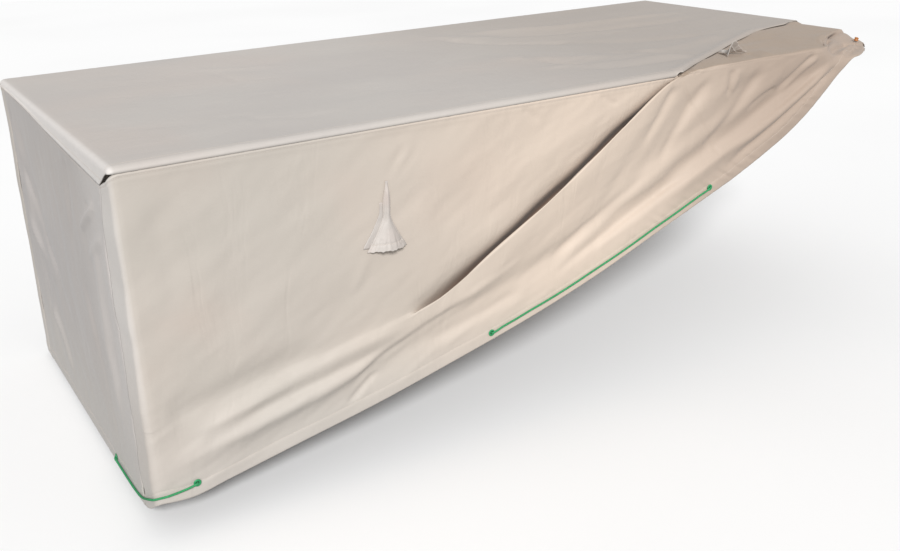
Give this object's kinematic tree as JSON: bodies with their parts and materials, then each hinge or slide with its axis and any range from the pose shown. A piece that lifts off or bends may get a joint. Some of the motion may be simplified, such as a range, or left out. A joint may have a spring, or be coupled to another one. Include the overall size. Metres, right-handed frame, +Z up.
{
  "type": "outdoor lounge sofa cover",
  "caption": "Fitted cloth cover for long outdoor seating, hanging with its front corner lifted and thrown back, with vent hoods, drawcords and eyelets.",
  "frame": {"origin": "middle of the under side of the top, where what the cover is put over holds it up", "axes": "+X along the cover to the lifted corner, -Y to its front, +Z up"},
  "size_m": [2.031, 0.9943, 0.7345],
  "materials": {
    "cloth_front": "satin coated woven polyester, warm cream grey",
    "cloth_top": "satin coated woven polyester, grey taupe",
    "cloth_end": "satin coated woven polyester, cool pale grey",
    "vent_cloth": "satin coated woven polyester with a stitched hem",
    "drawcord_green": "braided cord, green",
    "eyelet_green": "painted ring, green",
    "toggle_brown": "moulded, orange brown"
  },
  "bodies": {
    "root": {"top_panel": "cloth_top", "front_panel": "cloth_front", "back_panel": "cloth_front", "left_end_panel": "cloth_end", "right_end_panel": "cloth_end", "front_vent_hood": "vent_cloth", "raised_vent_hood": "vent_cloth", "corner_drawcord": "drawcord_green", "front_drawcord": "drawcord_green", "corner_eyelet_end": "eyelet_green", "corner_eyelet_front": "eyelet_green", "front_eyelet_lower": "eyelet_green", "front_eyelet_upper": "eyelet_green", "hem_toggle": "toggle_brown"}
  },
  "joints": []
}
